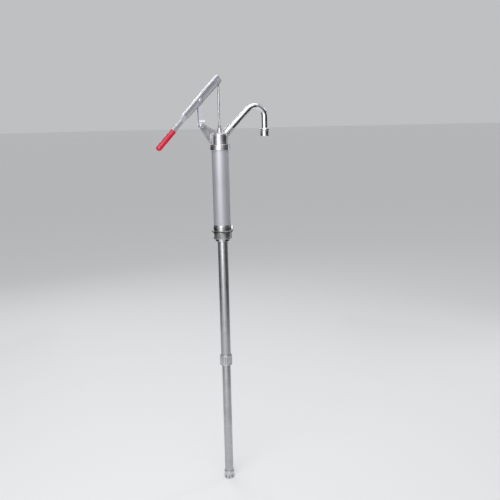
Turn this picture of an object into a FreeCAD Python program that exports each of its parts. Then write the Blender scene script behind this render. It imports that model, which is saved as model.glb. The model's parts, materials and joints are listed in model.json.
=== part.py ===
"""Lever-operated drum pump: a piston pump on a bung adapter, with a telescoping suction tube.

Millimetres. The origin is on the pump's axis, at the face where the adapter's gasket seats on the
drum. +Z is up, the lever swings in the XZ plane with its grip towards -X, and the spout is at +X.
"""
import FreeCAD
import Part
import math
import os

V = FreeCAD.Vector
X, Y, Z = V(1, 0, 0), V(0, 1, 0), V(0, 0, 1)
os.makedirs("parts", exist_ok=True)

# ---- fits -------------------------------------------------------------------------------------
running = 0.07            # radial gap of a shaft that turns or slides in its hole
side_gap = 0.3            # gap between the flat sides of pieces that move past each other
over_cut = 1.0            # how far a cutting tool runs past the face that it cuts

# ---- bung adapter ------------------------------------------------------------------------------
gasket_t = 2.5            # drum gasket under the adapter's flange
gasket_r = 33.0
bung_thread_r = 29.8      # crest of the 2 inch thread
bung_thread_len = 22.0
bung_thread_lead = 1.5    # bevel at the foot of the thread
bung_relief_r = 29.0      # relief between the thread and the flange
bung_relief_h = 1.0       # how far the relief runs below the gasket's seat
flange_af = 64.0          # across the flats of the hexagonal flange
flange_t = 3.0
collar_r = 28.0
collar_h = 13.5           # collar above the flange, which the thumb screw goes through
thumb_angle = -20.0       # direction of the thumb screw about the pump's axis, degrees
thumb_r = 3.0
thumb_head_r = 7.0
thumb_head_t = 4.5
thumb_reach = 6.5         # from the collar's wall to the outer face of the screw's head
thumb_neck_r = 4.2
thumb_notches = 20
thumb_notch_r = 0.55

# ---- pump base and foot valve ------------------------------------------------------------------
spigot_r = 22.0           # spigot that turns in the adapter
spigot_len = 49.0         # below the shoulder
shoulder_t = 3.5
base_bore_r = 18.0
base_collar_h = 12.0      # collar of the base that enters the cylinder
seat_drop = 15.0          # from the cylinder's foot down to the valve seat
seat_web_t = 6.0          # web that carries the valve seat
seat_hole_r = 10.5
seat_ring_t = 2.0
foot_disc_r = 15.0
foot_disc_t = 2.5
foot_lift = 5.0
foot_pin_r = 2.0
cage_t = 3.0
cage_gap = 1.5            # between the lifted disc and the cage
spoke_w = 4.0

# ---- cylinder ----------------------------------------------------------------------------------
bore_r = 25.4             # 2 inch bore
cyl_wall = 1.6
cyl_len = 247.5

# ---- head --------------------------------------------------------------------------------------
head_gasket_t = 1.5
head_flange_t = 2.5
head_flange_r = 29.0
head_r = 25.5
head_h = 36.0             # head above the coupling ring
head_wall = 4.5
head_top_t = 7.0
head_round = 5.0          # rounding of the head's upper edge
dome_rise = 1.6
ring_r = 31.2             # coupling ring that clamps the head on the cylinder
ring_grip = 10.0          # length of its grip on the cylinder
ring_lip_t = 3.5
ring_bevel = 0.9
ring_groove_w = 1.4
ring_groove_d = 0.6

# ---- gland -------------------------------------------------------------------------------------
rod_r = 3.175             # 1/4 inch rod
boss_base_r = 9.5
boss_top_r = 5.8
boss_h = 15.5
packing_r = 5.0
packing_h = 9.0
packing_turns = 3
gland_washer_t = 1.2
nut_thread_r = 4.4
nut_af = 9.6
nut_h = 7.0

# ---- linkage, pivots at rest: distance from the pump's axis and rise above the cylinder's top ------
link_pivot_out = 58.0     # link on the bracket
link_pivot_rise = 67.0
fulcrum_out = 60.0        # lever on the link
fulcrum_rise = 143.0
rod_pivot_rise = 202.0    # lever on the rod
stroke = 115.0

# ---- bracket arm on the head -----------------------------------------------------------------------
arm_web_half = 2.2
arm_rib_half = 5.6
arm_rib_t = 3.2
arm_pad_t = 4.0
arm_tip_r = 8.0
arm_tip_half = 8.3
arm_bolt_r = 4.0
arm_low_gap = 1.2         # from the coupling ring to the foot of the arm

# ---- link --------------------------------------------------------------------------------------
link_sheet = 2.0
link_half = 8.5           # half width across the link's upper cheeks
link_side_r = 8.0         # from the pivots to the link's web, and the radius of its lower end
link_belly = 11.5         # from the pivots to the open edge of its legs, just above the joggle
link_head_r = 7.0
link_web_low = 20.0       # the link's web, measured from its lower pivot
link_web_high = 60.0
joggle_low = 11.0
joggle_high = 17.0
joggle_round = 2.5
bolt_head_af = 12.5
bolt_head_t = 5.0
washer_r = 7.6
washer_t = 1.4
link_nut_t = 6.0
bolt_tail = 2.5

# ---- lever -------------------------------------------------------------------------------------
lever_angle = 47.1        # rise of the lever's web, degrees
lever_sheet = 1.8
lever_half = 11.0
web_height = 13.0         # outer face of the web above the fulcrum
top_past_pin = 12.9       # from the rod pin to the top end
top_drop = 1.4            # how far the top end bows below the straight web
bow_reach = 48.0          # where that bow starts
bow_round = 90.0
belly_round = 60.0        # rounding of the cheeks' lower edge at the bow
neck_round = 14.0
neck_side_round = 12.0
eye_round = 7.5           # rounding of the cheeks about the rod pin
cheek_low_top = 23.3      # depth of the cheeks at the bow
cheek_low_neck = 19.0     # depth of the cheeks at the neck
neck_reach = 68.0         # from the fulcrum down to the neck
neck_len = 18.0
shank_half = 5.6
shank_depth = 12.6
shank_axis = 1.6          # height of the shank's axis above the fulcrum line
shank_end = 193.0         # from the fulcrum to the end of the shank
web_bend = 2.6            # outer bend radius of the sheet
rivet_r = 3.2
rivet_head_r = 5.6
rivet_head_t = 1.7
rivet_dimple_r = 2.0
rivet_dimple_d = 1.0
grip_r = 9.3
grip_start = 123.5        # from the fulcrum to the mouth of the grip
grip_len = 79.0
grip_round = 8.0
grip_bead_r = 9.9
grip_bead_w = 4.0

# ---- rod end -------------------------------------------------------------------------------------
eye_r = 6.5
eye_half = 6.0
eye_neck_r = 4.6
eye_neck_len = 11.0
rod_pin_r = 3.0
rod_pin_head_r = 5.0
rod_pin_head_t = 1.8
rod_pin_tail = 2.6
clip_t = 0.9
clip_r = 5.0
spacer_r = 5.0

# ---- piston --------------------------------------------------------------------------------------
floor_gap = 2.5           # from the base's collar to the piston at the bottom of its stroke
piston_r = 24.6
piston_t = 8.0
port_r = 2.6
port_pcd = 26.0
port_count = 6
cup_t = 2.5
cup_lip_h = 10.0
cup_lip_t = 1.8
cup_in_r = 17.2
cup_gap = 0.05
retainer_r = 22.4
retainer_t = 3.0
piston_disc_r = 16.6
piston_disc_t = 2.0
piston_lift = 4.0
piston_nut_af = 11.0
piston_nut_t = 5.0
rod_tail = 8.0

# ---- spout ---------------------------------------------------------------------------------------
spout_rise = 21.0         # from the cylinder's top to where the spout's axis meets the pump's axis
spout_tilt = 45.0
pipe_r = 9.525            # 3/4 inch pipe
pipe_wall = 1.2
bend_r = 33.0
drop_x = 149.0            # distance from the pump's axis to the spout's vertical leg
socket_r = 12.2
socket_len = 28.0
spot_gap = 1.2            # clearance round the spout nut where the head is spot-faced
thread_r = 10.9
thread_len = 16.0
socket_depth = 20.0       # how far the pipe enters the socket
outlet_r = 7.5
spout_nut_r = 12.9
spout_nut_lip = 6.0
spout_seal_t = 6.0
groove_count = 4
groove_w = 2.2
groove_d = 1.0
nozzle_rise = 55.0        # from the cylinder's top to the nozzle's upper end
nozzle_len = 26.0
nozzle_flange_r = 15.4
nozzle_flange_t = 9.0
nozzle_r = 14.2
nozzle_mouth_r = 8.6
nozzle_grip = 12.0

# ---- suction tube ----------------------------------------------------------------------------------
upper_tube_r = 16.0
upper_tube_wall = 1.4
upper_tube_low = -430.0
telescope_gap = 0.6       # radial gap between the two tubes
lower_tube_wall = 1.3
tube_foot = -850.0
tube_nut_wall = 4.0       # round the upper tube
tube_nut_grip = 18.0
tube_nut_lip = 6.0
tube_nut_notches = 16
tube_nut_notch_r = 1.2
tube_nut_notch_inset = 4.0
tube_seal_t = 10.0
stop_ring_t = 10.0
stop_ring_inset = 3.0
strainer_side = 3.0       # its side wall, most of it outside the lower tube
strainer_step = 0.5       # how far its side wall runs in under the lower tube
strainer_grip = 10.0
strainer_h = 16.0
strainer_wall = 1.5
slot_count = 10
slot_w = 3.0
slot_h = 9.0
slot_rise = 4.0           # from the strainer's foot to the slots
strainer_holes = 6        # round holes in the strainer's floor
strainer_hole_r = 1.6


# ---- helpers -------------------------------------------------------------------------------------
def at(r, z):
    """A point of the XZ plane."""
    return V(r, 0, z)


def outline(points, radii=None):
    """A closed wire in the XZ plane, each corner rounded by its own radius."""
    corners = [at(*p) for p in points]
    radii = radii or {}
    count = len(corners)
    starts, ends, arcs = [], [], []
    for i, corner in enumerate(corners):
        before = (corners[i - 1] - corner).normalize()
        after = (corners[(i + 1) % count] - corner).normalize()
        radius = radii.get(i, 0)
        if radius:
            half = before.getAngle(after) / 2
            reach = radius / math.tan(half)
            middle = (before + after).normalize()
            start, end = corner + before * reach, corner + after * reach
            centre = corner + middle * (radius / math.sin(half))
            arcs.append(Part.Arc(start, centre - middle * radius, end).toShape())
        else:
            start = end = corner
            arcs.append(None)
        starts.append(start)
        ends.append(end)
    edges = []
    for i in range(count):
        if arcs[i]:
            edges.append(arcs[i])
        nxt = starts[(i + 1) % count]
        if (nxt - ends[i]).Length > 1e-6:
            edges.append(Part.LineSegment(ends[i], nxt).toShape())
    return Part.Wire(Part.__sortEdges__(edges))


def turned(points, radii=None):
    """A solid turned about the pump's axis from (radius, height) points."""
    return Part.Face(outline(points, radii)).revolve(V(), Z, 360)


def plate(points, half, radii=None):
    """An outline of the XZ plane made into a plate from -half to +half along Y."""
    face = Part.Face(outline(points, radii))
    face.translate(V(0, -half, 0))
    return face.extrude(V(0, 2 * half, 0))


def tube(outer, inner, low, high):
    """A plain tube on the pump's axis."""
    return turned([(inner, low), (outer, low), (outer, high), (inner, high)])


def disc(radius, low, high):
    """A plain disc on the pump's axis."""
    return Part.makeCylinder(radius, high - low, V(0, 0, low))


def bar_y(centre, radius, low, high):
    """A round bar along Y through a point of the XZ plane."""
    return Part.makeCylinder(radius, high - low, V(centre.x, low, centre.z), Y)


def ring_y(centre, outer, inner, low, high):
    """A washer along Y."""
    hole = bar_y(centre, inner, low - over_cut, high + over_cut)
    return bar_y(centre, outer, low, high).cut(hole)


def hexagon(across, low, high):
    """A hexagonal prism on the pump's axis, its corners cut back by a cone."""
    corner = across / math.sqrt(3)
    points = [V(corner * math.cos(math.radians(60 * k)), corner * math.sin(math.radians(60 * k)), low)
              for k in range(6)]
    prism = Part.Face(Part.makePolygon(points + points[:1])).extrude(V(0, 0, high - low))
    bevel = corner - across / 2
    turned_blank = turned([(0, low), (corner, low), (corner, high - bevel / 2), (corner - bevel, high),
                           (0, high)])
    return prism.common(turned_blank)


def turn_copies(shape, count, step=None):
    """Copies of a shape round the pump's axis."""
    step = step or 360 / count
    copies = []
    for k in range(count):
        copy = shape.copy()
        copy.rotate(V(), Z, k * step)
        copies.append(copy)
    return copies


def fuse_all(shapes):
    return shapes[0].multiFuse(shapes[1:]).removeSplitter() if len(shapes) > 1 else shapes[0]


# ---- levels that follow from the sizes ---------------------------------------------------------------
flange_low = gasket_t
collar_low = flange_low + flange_t
shoulder_low = collar_low + collar_h            # the pump stands on the adapter here
cyl_low = shoulder_low + shoulder_t
cyl_high = cyl_low + cyl_len
cyl_r = bore_r + cyl_wall
spigot_low = shoulder_low - spigot_len
seat_web_high = cyl_low - seat_drop
seat_web_low = seat_web_high - seat_web_t
seat_high = seat_web_high + seat_ring_t
cage_low = seat_high + foot_disc_t + foot_lift + cage_gap
head_low = cyl_high + head_gasket_t
ring_low = cyl_high - ring_grip
ring_high = head_low + head_flange_t + ring_lip_t
head_high = ring_high + head_h
boss_high = head_high + boss_h
packing_low = head_high - 1.0
packing_high = packing_low + packing_h
thumb_z = collar_low + collar_h - thumb_head_r + 1.2
spout_z = cyl_high + spout_rise
nozzle_top = cyl_high + nozzle_rise
nozzle_low = nozzle_top - nozzle_len
link_pivot = at(-link_pivot_out, cyl_high + link_pivot_rise)
fulcrum = at(-fulcrum_out, cyl_high + fulcrum_rise)
rod_pivot = at(0, cyl_high + rod_pivot_rise)


# ---- bung adapter and thumb screw ----------------------------------------------------------------
def drum_gasket():
    return tube(gasket_r, bung_thread_r, 0, gasket_t)


def bung_adapter():
    inside_flange = flange_low + over_cut
    wall = turned([(0, -bung_thread_len), (bung_thread_r - bung_thread_lead, -bung_thread_len),
                   (bung_thread_r, -bung_thread_len + bung_thread_lead), (bung_thread_r, -bung_relief_h),
                   (bung_relief_r, -bung_relief_h), (bung_relief_r, inside_flange),
                   (collar_r, inside_flange), (collar_r, shoulder_low), (0, shoulder_low)], {7: 1.0})
    flange = hexagon(flange_af, flange_low, collar_low)
    bore = disc(spigot_r + running, -bung_thread_len - over_cut, shoulder_low + over_cut)
    screw_hole = Part.makeCylinder(thumb_r + running, collar_r + over_cut, V(0, 0, thumb_z), X)
    screw_hole.rotate(V(), Z, thumb_angle)
    return fuse_all([wall, flange]).cut(bore).cut(screw_hole)


def thumb_screw():
    tip = spigot_r + side_gap
    head_in = collar_r + thumb_reach - thumb_head_t
    head = turned([(0, head_in), (thumb_head_r, head_in), (thumb_head_r, head_in + thumb_head_t),
                   (0, head_in + thumb_head_t)], {1: 0.8, 2: 0.8})
    neck = disc(thumb_neck_r, collar_r + side_gap, head_in + over_cut)
    shank = disc(thumb_r, tip, head_in + over_cut)
    screw = fuse_all([head, neck, shank])
    notch = Part.makeCylinder(thumb_notch_r, thumb_head_t + 2 * over_cut,
                              V(thumb_head_r, 0, head_in - over_cut))
    for cut in turn_copies(notch, thumb_notches):
        screw = screw.cut(cut)
    screw.rotate(V(), Y, 90)
    screw.translate(V(0, 0, thumb_z))
    screw.rotate(V(), Z, thumb_angle)
    return screw


# ---- pump base and foot valve ------------------------------------------------------------------------
def pump_base():
    collar_top = cyl_low + base_collar_h
    body = turned([(seat_hole_r, seat_web_low), (upper_tube_r, seat_web_low), (upper_tube_r, spigot_low),
                   (spigot_r, spigot_low), (spigot_r, shoulder_low), (cyl_r, shoulder_low),
                   (cyl_r, cyl_low), (bore_r, cyl_low), (bore_r, collar_top), (base_bore_r, collar_top),
                   (base_bore_r, seat_web_high), (seat_hole_r, seat_web_high)], {3: 1.0})
    return body


def foot_valve_seat():
    return tube(base_bore_r, seat_hole_r, seat_web_high, seat_high)


def foot_valve_disc():
    return tube(foot_disc_r, foot_pin_r + 4 * running, seat_high, seat_high + foot_disc_t)


def foot_valve_cage():
    high = cage_low + cage_t
    rim = tube(base_bore_r, base_bore_r - 2.0, seat_high, high)
    spoke = Part.makeBox(base_bore_r - 1.0, spoke_w, cage_t, V(0, -spoke_w / 2, cage_low))
    hub = disc(foot_pin_r + 2.5, cage_low, high)
    pin = disc(foot_pin_r, seat_high - seat_ring_t / 2, high)
    return fuse_all([rim, hub, pin] + turn_copies(spoke, 3))


# ---- cylinder, coupling ring and head ------------------------------------------------------------
def cylinder():
    return tube(cyl_r, bore_r, cyl_low, cyl_high)


def head_gasket():
    return tube(head_flange_r, bore_r, cyl_high, head_low)


def head_ring():
    recess_top = ring_high - ring_lip_t
    body = turned([(cyl_r, ring_low), (ring_r - ring_bevel, ring_low), (ring_r, ring_low + ring_bevel),
                   (ring_r, ring_high - ring_bevel), (ring_r - ring_bevel, ring_high),
                   (head_r, ring_high), (head_r, recess_top), (head_flange_r, recess_top),
                   (head_flange_r, cyl_high), (cyl_r, cyl_high)])
    middle = ring_high - ring_lip_t - head_flange_t
    groove = tube(ring_r + over_cut, ring_r - ring_groove_d, middle - ring_groove_w / 2,
                  middle + ring_groove_w / 2)
    return body.cut(groove)


def spout_direction():
    return V(math.cos(math.radians(spout_tilt)), 0, math.sin(math.radians(spout_tilt)))


def on_spout(shape):
    """Moves a shape made on the Z axis on to the spout's axis, its zero at the pump's axis."""
    moved = shape.copy()
    moved.rotate(V(), Y, 90 - spout_tilt)
    moved.translate(V(0, 0, spout_z))
    return moved


def rib(start, end, thickness):
    """A rib of the bracket arm whose outer edge runs from start to end."""
    along = (end - start).normalize()
    inward = V(along.z, 0, -along.x) * thickness
    corners = [start, end, end + inward, start + inward]
    return plate([(c.x, c.z) for c in corners], arm_rib_half)


def bracket_arm():
    """The triangular arm with raised ribs, up to but not through the head's wall."""
    pad_x = -head_r - arm_pad_t
    foot = at(pad_x, ring_high + arm_low_gap)
    root = at(-boss_base_r + 1.5, head_high + 3.0)
    tip = link_pivot
    upper_tip = tip + (root - tip).normalize().cross(Y) * (arm_tip_r - 0.6)
    lower_tip = tip - (foot - tip).normalize().cross(Y) * (arm_tip_r - 0.6)
    pad_root = at(-head_r / 2, head_high - head_top_t / 2)
    corners = (upper_tip, root, pad_root, at(-head_r + 1, foot.z), foot, lower_tip)
    web = plate([(p.x, p.z) for p in corners], arm_web_half)
    pad = Part.makeBox(arm_pad_t + head_wall / 2, 2 * arm_rib_half, head_high - head_round - foot.z,
                       V(pad_x, -arm_rib_half, foot.z))
    upper = rib(upper_tip, root, arm_rib_t)
    lower = rib(foot, lower_tip, arm_rib_t)
    barrel = bar_y(tip, arm_tip_r, -arm_tip_half, arm_tip_half)
    return [web, pad, upper, lower, barrel]


def pump_head():
    outer = turned([(0, head_low), (head_flange_r, head_low), (head_flange_r, head_low + head_flange_t),
                    (head_r, head_low + head_flange_t), (head_r, head_high - dome_rise),
                    (boss_base_r, head_high), (boss_top_r, boss_high), (0, boss_high)],
                   {4: head_round, 5: 1.6, 6: 0.8})
    spot_face = on_spout(disc(spout_nut_r + spot_gap, socket_len, socket_len + thread_len))
    socket = on_spout(disc(socket_r, 0, socket_len))
    thread = on_spout(disc(thread_r, 0, socket_len + thread_len))
    body = fuse_all([outer.cut(spot_face), socket, thread] + bracket_arm())
    chamber_r = head_r - head_wall
    chamber = turned([(0, head_low - over_cut), (chamber_r, head_low - over_cut),
                      (chamber_r, head_high - head_top_t), (0, head_high - head_top_t)], {2: 6.0})
    packing_hole = disc(packing_r, packing_low, packing_high)
    thread_hole = disc(nut_thread_r, packing_high, boss_high + over_cut)
    rod_hole = disc(rod_r + running, head_low, packing_low + over_cut)
    pipe_hole = on_spout(disc(pipe_r + running, socket_len + thread_len - socket_depth,
                              socket_len + thread_len + over_cut))
    outlet = on_spout(disc(outlet_r, head_r / 2, socket_len + thread_len))
    tip_end = arm_tip_half + over_cut
    bolt_hole = bar_y(link_pivot, arm_bolt_r + running, -tip_end, tip_end)
    for hole in (chamber, packing_hole, thread_hole, rod_hole, pipe_hole, outlet, bolt_hole):
        body = body.cut(hole)
    return body


def gland_washer():
    return tube(packing_r, rod_r + running, packing_high - gland_washer_t, packing_high)


def rod_packing():
    """Packing rings stacked round the rod."""
    turn_h = (packing_high - gland_washer_t - packing_low) / packing_turns
    levels = [packing_low + k * turn_h for k in range(packing_turns)]
    return Part.makeCompound([tube(packing_r, rod_r + running, z, z + turn_h - 0.05) for z in levels])


def packing_nut():
    head = hexagon(nut_af, boss_high, boss_high + nut_h)
    thread = disc(nut_thread_r, packing_high, boss_high + over_cut)
    hole = disc(rod_r + running, packing_high - over_cut, boss_high + nut_h + over_cut)
    return fuse_all([head, thread]).cut(hole)


# ---- spout -----------------------------------------------------------------------------------------
thread_end = socket_len + thread_len
pipe_start = thread_end - socket_depth
bend_centre = V(drop_x - bend_r, 0,
                spout_z + (drop_x - bend_r) * math.tan(math.radians(spout_tilt))
                - bend_r / math.cos(math.radians(spout_tilt)))


def spout_path():
    """Centre line of the pipe: a sloping run, one bend and a vertical leg."""
    direction = spout_direction()
    origin = V(0, 0, spout_z)
    left = V(-direction.z, 0, direction.x)
    tangent = bend_centre + left * bend_r
    middle_angle = math.radians(90 + spout_tilt) / 2
    middle = bend_centre + V(math.cos(middle_angle), 0, math.sin(middle_angle)) * bend_r
    end = bend_centre + V(bend_r, 0, 0)
    return Part.Wire([Part.LineSegment(origin + direction * pipe_start, tangent).toShape(),
                      Part.Arc(tangent, middle, end).toShape(),
                      Part.LineSegment(end, V(end.x, 0, nozzle_top - nozzle_grip)).toShape()])


def swept(radius):
    start = V(0, 0, spout_z) + spout_direction() * pipe_start
    circle = Part.Wire(Part.makeCircle(radius, start, spout_direction()))
    return spout_path().makePipeShell([circle], True, True)


def spout_tube():
    return swept(pipe_r).cut(swept(pipe_r - pipe_wall))


def nozzle():
    flange_low_z = nozzle_top - nozzle_flange_t
    body = turned([(nozzle_mouth_r, nozzle_low), (nozzle_r, nozzle_low), (nozzle_r, flange_low_z),
                   (nozzle_flange_r, flange_low_z), (nozzle_flange_r, nozzle_top), (pipe_r, nozzle_top),
                   (pipe_r, nozzle_top - nozzle_grip), (nozzle_mouth_r, nozzle_top - nozzle_grip)],
                  {1: 1.0, 3: 2.5, 4: 2.5})
    body.translate(V(drop_x, 0, 0))
    return body


def spout_seal():
    return on_spout(tube(thread_r, pipe_r + 0.05, thread_end, thread_end + spout_seal_t))


def spout_nut():
    """Coupling nut with turned rings round it."""
    seal_end = thread_end + spout_seal_t
    high = seal_end + spout_nut_lip
    body = turned([(thread_r, socket_len), (spout_nut_r, socket_len), (spout_nut_r, high),
                   (pipe_r + running, high), (pipe_r + running, seal_end), (thread_r, seal_end)],
                  {1: 0.8, 2: 1.5})
    pitch = (high - socket_len) / (groove_count + 1)
    for k in range(1, groove_count + 1):
        middle = socket_len + k * pitch
        groove = turned([(spout_nut_r - groove_d, middle), (spout_nut_r + over_cut, middle - groove_w),
                         (spout_nut_r + over_cut, middle + groove_w)])
        body = body.cut(groove)
    return on_spout(body)


# ---- rod and piston ----------------------------------------------------------------------------------
piston_low = cyl_low + base_collar_h + floor_gap + stroke      # at rest, at the top of the stroke
piston_high = piston_low + piston_t
cup_high = piston_high + cup_t
hub_low = piston_high + piston_disc_t + piston_lift + 0.5
hub_high = hub_low + retainer_t
rod_low = piston_low - rod_tail


def piston_rod():
    return disc(rod_r, rod_low, rod_pivot.z - eye_r + 1.5)


def rod_eye():
    barrel = bar_y(rod_pivot, eye_r, -eye_half, eye_half)
    neck = disc(eye_neck_r, rod_pivot.z - eye_neck_len, rod_pivot.z)
    body = fuse_all([barrel, neck])
    body = body.cut(piston_rod())
    return body.cut(bar_y(rod_pivot, rod_pin_r + running, -eye_half - over_cut, eye_half + over_cut))


def piston_body():
    body = tube(piston_r, rod_r, piston_low, piston_high)
    port = Part.makeCylinder(port_r, piston_t + 2 * over_cut, V(port_pcd / 2, 0, piston_low - over_cut))
    for hole in turn_copies(port, port_count):
        body = body.cut(hole)
    return body


def piston_cup():
    outer = bore_r - cup_gap
    return turned([(cup_in_r, piston_high), (outer, piston_high), (outer, piston_high + cup_lip_h),
                   (outer - cup_lip_t, piston_high + cup_lip_h), (outer - cup_lip_t, cup_high),
                   (cup_in_r, cup_high)])


def cup_retainer():
    rim = tube(retainer_r, cup_in_r, cup_high, hub_high)
    hub = disc(rod_r + 3.0, hub_low, hub_high)
    spoke = Part.makeBox(cup_in_r + 1.0, spoke_w, retainer_t, V(0, -spoke_w / 2, hub_low))
    hole = disc(rod_r, hub_low - over_cut, hub_high + over_cut)
    return fuse_all([rim, hub] + turn_copies(spoke, 3)).cut(hole)


def piston_nuts():
    nuts = []
    for low in (piston_low - piston_nut_t, hub_high):
        nut = hexagon(piston_nut_af, low, low + piston_nut_t)
        nuts.append(nut.cut(disc(rod_r, low - over_cut, low + piston_nut_t + over_cut)))
    return Part.makeCompound(nuts)


def piston_valve_disc():
    return tube(piston_disc_r, rod_r + 0.3, piston_high, piston_high + piston_disc_t)


# ---- lever -----------------------------------------------------------------------------------------
def on_lever(shape):
    """Moves a shape made along X, with the fulcrum at the origin, to the lever's place at rest."""
    moved = shape.copy()
    moved.rotate(V(), Y, -lever_angle)
    moved.translate(fulcrum)
    return moved


def in_lever(point):
    """A point of the XZ plane in the lever's own frame."""
    local = point - fulcrum
    angle = math.radians(lever_angle)
    return V(local.x * math.cos(angle) + local.z * math.sin(angle), 0,
             -local.x * math.sin(angle) + local.z * math.cos(angle))


def lever_side(inset):
    """Side view of the lever, its web lowered by inset and its cheeks run on below by the same."""
    pin = in_lever(rod_pivot)
    below = inset * 20
    shank_top = shank_axis + shank_depth / 2 - inset
    shank_low = shank_axis - shank_depth / 2 - below
    neck_end = -neck_reach - neck_len
    eye_low = pin.z - eye_round - below
    top = pin.x + top_past_pin
    points = [(top + inset, web_height - top_drop - inset), (bow_reach, web_height - inset),
              (-neck_reach, web_height - inset), (neck_end, shank_top), (-shank_end - inset, shank_top),
              (-shank_end - inset, shank_low), (neck_end, shank_low),
              (-neck_reach, web_height - cheek_low_neck - below),
              (bow_reach, web_height - cheek_low_top - below), (pin.x + eye_round + inset, eye_low),
              (pin.x + eye_round + inset, pin.z)]
    radii = {1: bow_round, 2: neck_round, 3: neck_round, 8: belly_round}
    if not inset:
        radii.update({0: 2.0, 9: eye_round - 0.5, 10: 12.0})
    return plate(points, lever_half + over_cut, radii)


def lever_plan(inset):
    """Plan view of the lever, drawn in the XZ plane and then laid across the side view."""
    wide, narrow = lever_half - inset, shank_half - inset
    neck_end = -neck_reach - neck_len
    top = in_lever(rod_pivot).x + top_past_pin
    upper = [(top + over_cut, wide), (-neck_reach, wide), (neck_end, narrow),
             (-shank_end - over_cut, narrow)]
    points = upper + [(x, -w) for x, w in reversed(upper)]
    solid = plate(points, 4 * web_height, {k: neck_side_round for k in (1, 2, 5, 6)})
    solid.rotate(V(), X, 90)
    return solid


def lever():
    """A channel pressed from sheet: open below, narrowed to a shank for the grip."""
    blank = lever_side(0).common(lever_plan(0))
    long_edges = [e for e in blank.Edges if is_web_edge(e)]
    blank = blank.makeFillet(web_bend, long_edges)
    core = lever_side(lever_sheet).common(lever_plan(lever_sheet))
    channel = on_lever(blank.cut(core))
    wide = lever_half + over_cut
    for centre, radius in ((fulcrum, rivet_r), (rod_pivot, rod_pin_r)):
        channel = channel.cut(bar_y(centre, radius, -wide, wide))
    return channel


def is_web_edge(edge):
    """True for an edge between the lever's web and a cheek."""
    middle = edge.valueAt((edge.FirstParameter + edge.LastParameter) / 2)
    low = shank_axis + shank_depth / 2 - 0.5
    ends = [v.Point for v in edge.Vertexes]
    along = len(ends) == 2 and abs(ends[0].x - ends[1].x) > 1.0
    return along and middle.z > low - 0.1 and abs(middle.y) > shank_half - 0.5


def grip():
    """A sleeve with a round end, pushed over the shank."""
    low, high = -grip_start - grip_len, -grip_start
    bead_low = high - grip_bead_w
    body = turned([(0, low), (grip_r, low), (grip_r, bead_low), (grip_bead_r, bead_low),
                   (grip_bead_r, high), (0, high)], {1: grip_round, 3: 0.5, 4: 0.9})
    body.rotate(V(), Y, 90)
    body.translate(V(0, 0, shank_axis))
    pocket = Part.makeBox(shank_end - grip_start + over_cut, 2 * shank_half, shank_depth,
                          V(-shank_end, -shank_half, shank_axis - shank_depth / 2))
    return on_lever(body.cut(pocket))


def mirror_y(shape):
    return shape.mirror(V(), Y)


def fulcrum_rivets():
    """A headed rivet in each cheek; the link's head lies between them."""
    inner = lever_half - lever_sheet
    shank = bar_y(V(), rivet_r, inner, lever_half + over_cut / 2)
    outer = lever_half + rivet_head_t
    head = turned([(0, lever_half), (rivet_head_r, lever_half), (rivet_head_r, outer), (0, outer)], {2: 1.0})
    head = head.cut(disc(rivet_dimple_r, outer - rivet_dimple_d, outer + over_cut))
    head.rotate(V(), X, -90)
    rivet = fuse_all([shank, head])
    rivet.translate(fulcrum)
    return Part.makeCompound([rivet, mirror_y(rivet)])


def rod_pin():
    tail = lever_half + rod_pin_tail
    shank = bar_y(rod_pivot, rod_pin_r, -lever_half - over_cut / 2, tail)
    head = bar_y(rod_pivot, rod_pin_head_r, -lever_half - rod_pin_head_t, -lever_half)
    groove = ring_y(rod_pivot, rod_pin_r + over_cut, rod_pin_r - 0.6, lever_half + 0.2,
                    lever_half + 0.2 + clip_t)
    return fuse_all([shank, head]).cut(groove)


def rod_pin_clip():
    clip = ring_y(rod_pivot, clip_r, rod_pin_r - 0.6, lever_half + 0.2, lever_half + 0.2 + clip_t)
    mouth = Part.makeBox(2 * clip_r, clip_t + 1, 3.6, V(rod_pivot.x, lever_half, rod_pivot.z - 1.8))
    return clip.cut(mouth)


def rod_spacers():
    low, high = eye_half + side_gap / 2, lever_half - lever_sheet
    spacer = ring_y(rod_pivot, spacer_r, rod_pin_r, low, high)
    return Part.makeCompound([spacer, mirror_y(spacer)])


# ---- link ------------------------------------------------------------------------------------------
def on_link(shape):
    """Moves a shape made up the Z axis from the link's lower pivot to the link's place at rest."""
    span = fulcrum - link_pivot
    moved = shape.copy()
    moved.rotate(V(), Y, math.degrees(math.atan2(span.x, span.z)))
    moved.translate(link_pivot)
    return moved


def link():
    """A pressed channel whose legs step outwards over the bracket's tip."""
    length = (fulcrum - link_pivot).Length
    ear = arm_tip_half + side_gap
    side = plate([(-link_side_r, -link_side_r), (link_side_r, -link_side_r),
                  (link_belly, joggle_high), (link_head_r, length + link_head_r),
                  (-link_head_r, length + link_head_r), (-link_side_r, link_web_high)],
                 2 * ear, {0: link_side_r - 0.1, 1: link_side_r - 0.1, 3: link_head_r - 0.2,
                           4: link_head_r - 0.2})
    top = length + link_head_r + over_cut
    leg_points = [(ear, -link_side_r - over_cut), (ear + link_sheet, -link_side_r - over_cut),
                  (ear + link_sheet, joggle_low), (link_half, joggle_high), (link_half, top),
                  (link_half - link_sheet, top), (link_half - link_sheet, joggle_high - 0.6),
                  (ear, joggle_low - 0.6)]
    leg = plate(leg_points, link_belly + over_cut, {2: joggle_round, 3: joggle_round})
    leg.rotate(V(), Z, 90)
    legs = [leg.common(side), mirror_y(leg).common(side)]
    web = Part.makeBox(link_sheet, 2 * link_half, link_web_high - link_web_low,
                       V(-link_side_r, -link_half, link_web_low))
    body = on_link(fuse_all(legs + [web]))
    hole = bar_y(link_pivot, arm_bolt_r, -2 * ear, 2 * ear)
    dimple = bar_y(fulcrum, rivet_r + running, -2 * ear, 2 * ear)
    return body.cut(hole).cut(dimple)


link_outer = arm_tip_half + side_gap + link_sheet


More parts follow.
